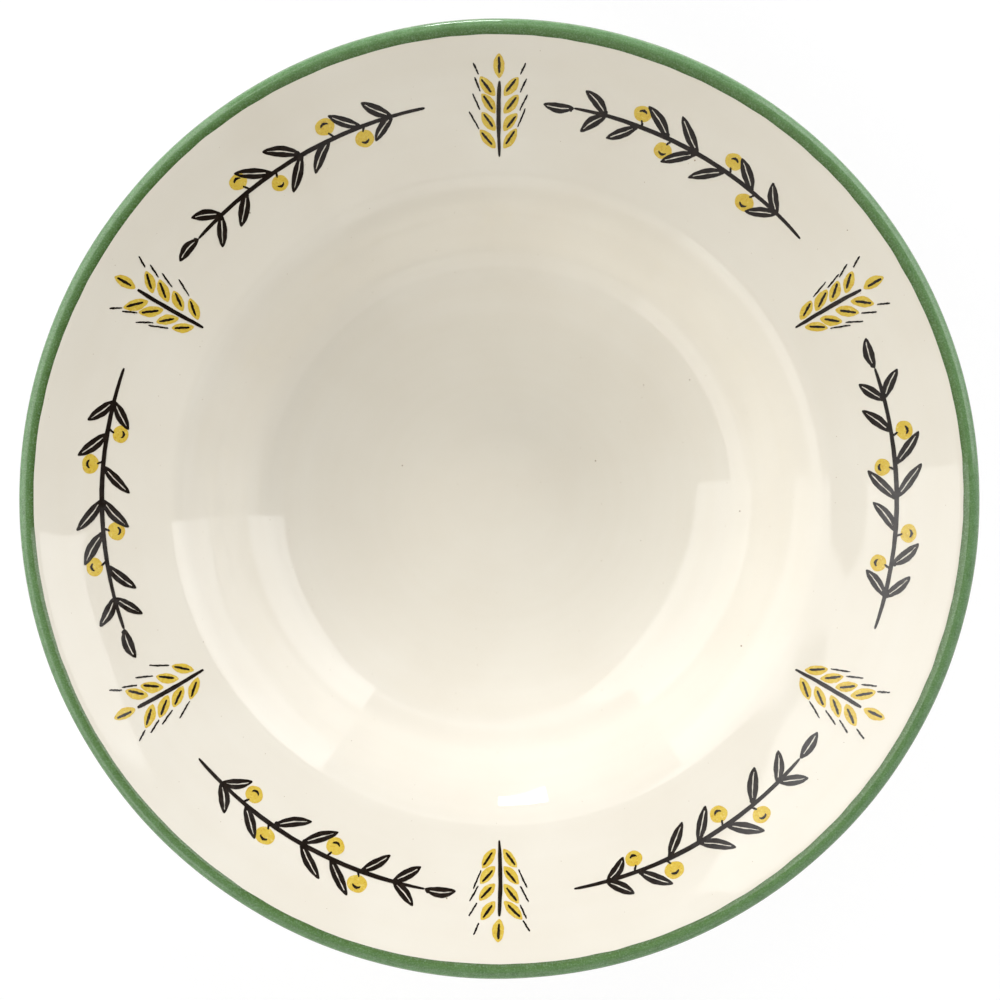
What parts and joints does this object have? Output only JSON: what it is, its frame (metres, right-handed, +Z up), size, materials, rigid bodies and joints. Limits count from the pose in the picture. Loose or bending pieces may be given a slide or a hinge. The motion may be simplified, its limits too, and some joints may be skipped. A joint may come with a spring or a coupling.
{
  "type": "pasta bowl",
  "caption": "Wide-rimmed stoneware pasta bowl, ivory glaze with a green banded lip and a black and ochre olive and wheat border print",
  "frame": {"origin": "Centre of the foot ring, on the surface that the bowl stands on", "axes": "+Z is up along the bowl's axis of revolution; +X points at the middle of one olive branch of the print"},
  "size_m": [0.27, 0.27, 0.052],
  "materials": {
    "biscuit": "matte",
    "ivory_glaze": "gloss",
    "green_glaze": "gloss",
    "black_enamel": "gloss",
    "ochre_enamel": "gloss"
  },
  "bodies": {
    "root": {"clay_body": "biscuit", "inside_glaze": "ivory_glaze", "outside_glaze": "ivory_glaze", "base_glaze": "ivory_glaze", "rim_band": "green_glaze", "black_print": "black_enamel", "ochre_print": "ochre_enamel"}
  },
  "joints": []
}
